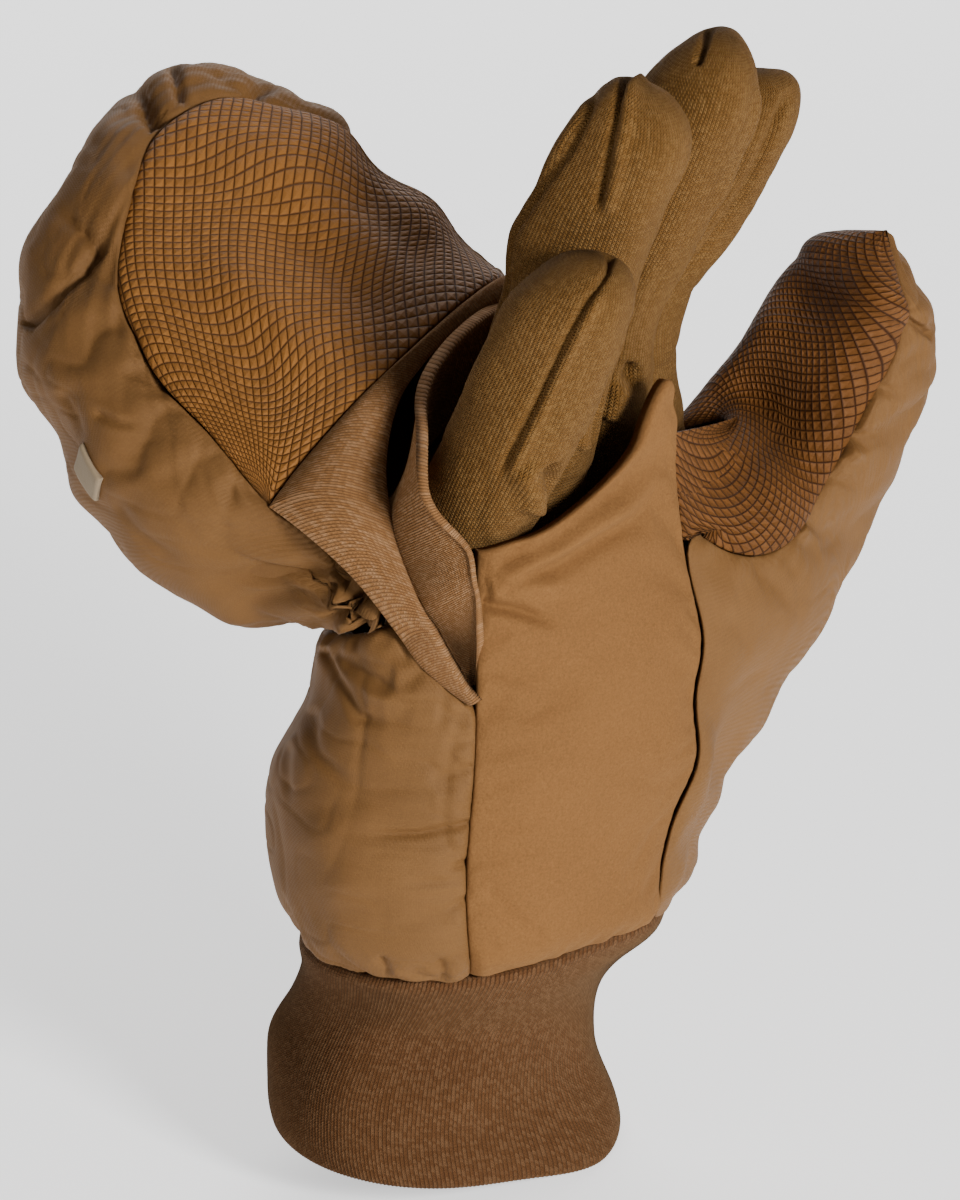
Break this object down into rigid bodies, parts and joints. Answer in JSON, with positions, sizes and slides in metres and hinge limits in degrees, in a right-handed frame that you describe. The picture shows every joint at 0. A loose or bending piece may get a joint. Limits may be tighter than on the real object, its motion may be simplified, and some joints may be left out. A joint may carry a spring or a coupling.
{
  "type": "convertible mitten",
  "caption": "Padded right-hand mitten, worn: its hood folded back off the knitted glove's fingers, with a ribbed slit, grip panels, a padded thumb and a knitted cuff.",
  "frame": {"origin": "centre of the cuff's lower opening, where the wrist holds the mitten", "axes": "+Z along the forearm to the fingertips, +X to the thumb's side, -Y out of the palm"},
  "size_m": [0.1497, 0.1472, 0.2253],
  "materials": {
    "woven_shell": "plain woven, slight sheen",
    "brushed_palm": "brushed, matt",
    "grip_cloth": "raised grip pattern",
    "rib_knit": "fine rib knit",
    "glove_knit": "jersey knit",
    "tab_cloth": "smooth, matt"
  },
  "bodies": {
    "root": {"wrist_cuff": "rib_knit", "palm_panel": "brushed_palm", "back_shell": "woven_shell", "thumb_grip": "grip_cloth", "thumb_shell": "woven_shell", "hood_grip": "grip_cloth", "hood_shell": "woven_shell", "hood_rib_band": "rib_knit", "opening_rib_band": "rib_knit", "hood_tab": "tab_cloth", "glove_hand": "glove_knit", "glove_little_finger": "glove_knit", "glove_ring_finger": "glove_knit", "glove_middle_finger": "glove_knit", "glove_index_finger": "glove_knit"}
  },
  "joints": []
}
